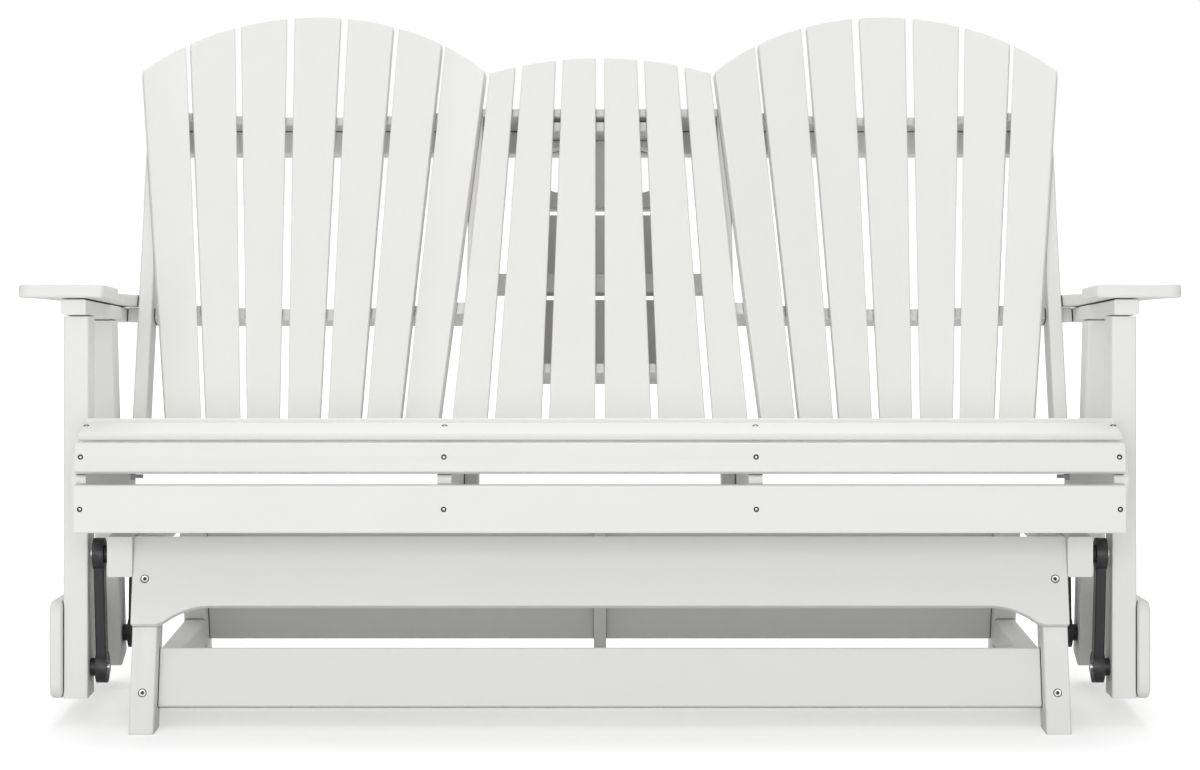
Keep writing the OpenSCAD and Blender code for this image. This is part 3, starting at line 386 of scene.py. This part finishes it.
def front_slat_outline():
    """Crest, nose, the shadow notch under it and the seat on the stringers, in Y and Z."""
    low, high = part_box("seat_front_slat")
    crest = Vector((high[1] - FRONT_SLAT_T * math.sin(STRINGER_FALL), high[2]))
    front = crest - FRONT_SLAT_W * Vector((math.cos(FRONT_SLAT_FALL), math.sin(FRONT_SLAT_FALL)))
    under = Vector((math.sin(STRINGER_FALL), -math.cos(STRINGER_FALL))) * FRONT_SLAT_T
    seated = crest - FRONT_SLAT_W * Vector((math.cos(STRINGER_FALL), math.sin(STRINGER_FALL)))
    chin = front + Vector((CHIN_IN, -NOSE_DEPTH))
    notch = chin + Vector((NOTCH_IN - CHIN_IN, NOTCH_UP))
    heel = seated + under
    heel += Vector((1.0, math.tan(STRINGER_FALL))) * (notch.x - heel.x)
    return [crest, front, chin, notch, heel, crest + under]


def front_slat_lift(point):
    """How much higher the nosed front slat is than the plain one over a screw, and zero elsewhere."""
    crest = front_slat_outline()[0]
    over = crest.x - point.y
    top = crest.y - over * math.tan(STRINGER_FALL)
    if not 0 < over < FRONT_SLAT_W or abs(point.z - top) > ON_SLAT:
        return 0.0
    return over * (math.tan(STRINGER_FALL) - math.tan(FRONT_SLAT_FALL))


def add_screws(node_name, body, rings):
    """Screws with a rim, a dished face and a lobed drive, in the places of a node's plain ones. The hole's
    wall, the rim and the drive's floor are painted shade in near black.
    """
    bm = bmesh.new()
    for centre, out, radius in screw_heads(node_name):
        centre = centre + Vector((0.0, 0.0, front_slat_lift(centre)))
        side = out.orthogonal().normalized()
        up = out.cross(side)
        loops = []
        for share, depth, lobes, _ in rings:
            loop = []
            for i in range(SCREW_SIDES):
                a = 2 * math.pi * i / SCREW_SIDES
                r = radius * share * (1 + lobes * math.cos(DRIVE_LOBES * a))
                place = centre + out * depth + side * r * math.cos(a) + up * r * math.sin(a)
                loop.append(bm.verts.new(place))
            loops.append(loop)
        bm.faces.new(list(reversed(loops[0])))
        for low, high, ring in zip(loops, loops[1:], rings):
            for i in range(SCREW_SIDES):
                j = (i + 1) % SCREW_SIDES
                face = bm.faces.new((low[i], low[j], high[j], high[i]))
                # Material 0 is the painted shade, 1 the bright steel of the head
                face.material_index = ring[3]
        bm.faces.new(loops[-1])
    finish_piece(bm, node_name + "_driven", node_name, body, [mats["painted_hole_shade"], mats["bright_steel"]])


def add_front_slat():
    """Front slat with a full nose over the nose slat, seated on the stringers like the plain one."""
    low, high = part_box("seat_front_slat")
    bm = bmesh.new()
    ends = [[bm.verts.new((x, y, z)) for y, z in front_slat_outline()] for x in (low[0], high[0])]
    bm.faces.new(ends[0])
    bm.faces.new(list(reversed(ends[1])))
    for i in range(len(ends[0])):
        j = (i + 1) % len(ends[0])
        bm.faces.new((ends[0][j], ends[0][i], ends[1][i], ends[1][j]))
    bmesh.ops.recalc_face_normals(bm, faces=bm.faces)
    bmesh.ops.bevel(bm, geom=bm.edges, offset=NOSE_R, segments=NOSE_SEGMENTS, profile=0.5, affect="EDGES")
    finish_piece(bm, "front_slat_nosed", "seat_front_slat", "seat", [mats["x"]])


# The studio: camera, floor, background and lamps

def add_camera():
    data = bpy.data.cameras.new("camera")
    data.sensor_width = SENSOR_MM
    data.lens = LENS_MM
    data.shift_y = SHIFT_Y
    data.clip_end = CLIP_END
    cam = bpy.data.objects.new("camera", data)
    cam.location = CAMERA_PLACE
    cam.rotation_euler = (math.radians(90) - CAMERA_PITCH, 0.0, 0.0)
    link_object(cam)
    bpy.context.scene.camera = cam


def stage_material():
    """A pale floor that keeps its shadows and glows toward the camera only, more so far from the object."""
    mat, t, bsdf = new_material("studio_floor")
    bsdf.inputs["Base Color"].default_value = FLOOR_COLOUR
    bsdf.inputs["Roughness"].default_value = FLOOR_ROUGHNESS
    bsdf.inputs["Specular IOR Level"].default_value = 0.0
    paths = node(t, "ShaderNodeLightPath")
    glow = node(t, "ShaderNodeEmission", Color=PURE_WHITE)
    coords = node(t, "ShaderNodeTexCoord")
    reach = node(t, "ShaderNodeVectorMath", operation="LENGTH")
    t.links.new(coords.outputs["Object"], reach.inputs[0])
    fade = remap(t, reach.outputs["Value"], *FLOOR_GLOW, *GLOW_REACH, interpolation_type="SMOOTHSTEP")
    t.links.new(fade, glow.inputs["Strength"])
    both = node(t, "ShaderNodeAddShader")
    t.links.new(bsdf.outputs[0], both.inputs[0])
    t.links.new(glow.outputs[0], both.inputs[1])
    pick = node(t, "ShaderNodeMixShader")
    t.links.new(paths.outputs["Is Camera Ray"], pick.inputs[0])
    t.links.new(bsdf.outputs[0], pick.inputs[1])
    t.links.new(both.outputs[0], pick.inputs[2])
    t.links.new(pick.outputs[0], t.nodes["Material Output"].inputs["Surface"])
    return mat


def add_stage():
    corners = [(x * FLOOR_HALF, y * FLOOR_HALF, 0) for x, y in ((-1, -1), (1, -1), (1, 1), (-1, 1))]
    mesh = bpy.data.meshes.new("studio_floor")
    mesh.from_pydata(corners, [], [(0, 1, 2, 3)])
    mesh.materials.append(stage_material())
    floor = bpy.data.objects.new("studio_floor", mesh)
    link_object(floor)


def add_world():
    """An even fill on the object, and plain white where the camera or a reflection looks past it."""
    world = bpy.data.worlds.new("studio")
    bpy.context.scene.world = world
    world.use_nodes = True
    t = world.node_tree
    fill = t.nodes["Background"]
    fill.inputs["Color"].default_value = PURE_WHITE
    fill.inputs["Strength"].default_value = FILL
    white = node(t, "ShaderNodeBackground", Color=PURE_WHITE, Strength=1.0)
    paths = node(t, "ShaderNodeLightPath")
    either = node(t, "ShaderNodeMath", operation="MAXIMUM")
    t.links.new(paths.outputs["Is Camera Ray"], either.inputs[0])
    t.links.new(paths.outputs["Is Glossy Ray"], either.inputs[1])
    pick = node(t, "ShaderNodeMixShader")
    t.links.new(either.outputs[0], pick.inputs[0])
    t.links.new(fill.outputs[0], pick.inputs[1])
    t.links.new(white.outputs[0], pick.inputs[2])
    t.links.new(pick.outputs[0], t.nodes["World Output"].inputs["Surface"])


def add_lamp(name, place, target, size, watts):
    data = bpy.data.lights.new(name, "AREA")
    data.shape = "RECTANGLE"
    data.size, data.size_y = size
    data.energy = watts
    lamp = bpy.data.objects.new(name, data)
    lamp.location = place
    aim = Vector(target) - Vector(place)
    lamp.rotation_euler = aim.to_track_quat("-Z", "Y").to_euler()
    link_object(lamp)


add_camera()
dress()
add_screws("base_screws", "base", BASE_SCREW_RINGS)
add_screws("seat_screws", "seat", SEAT_SCREW_RINGS)
add_front_slat()
add_stage()
add_world()
for lamp_values in LAMPS:
    add_lamp(*lamp_values)

bpy.context.scene.view_settings.view_transform = "Standard"
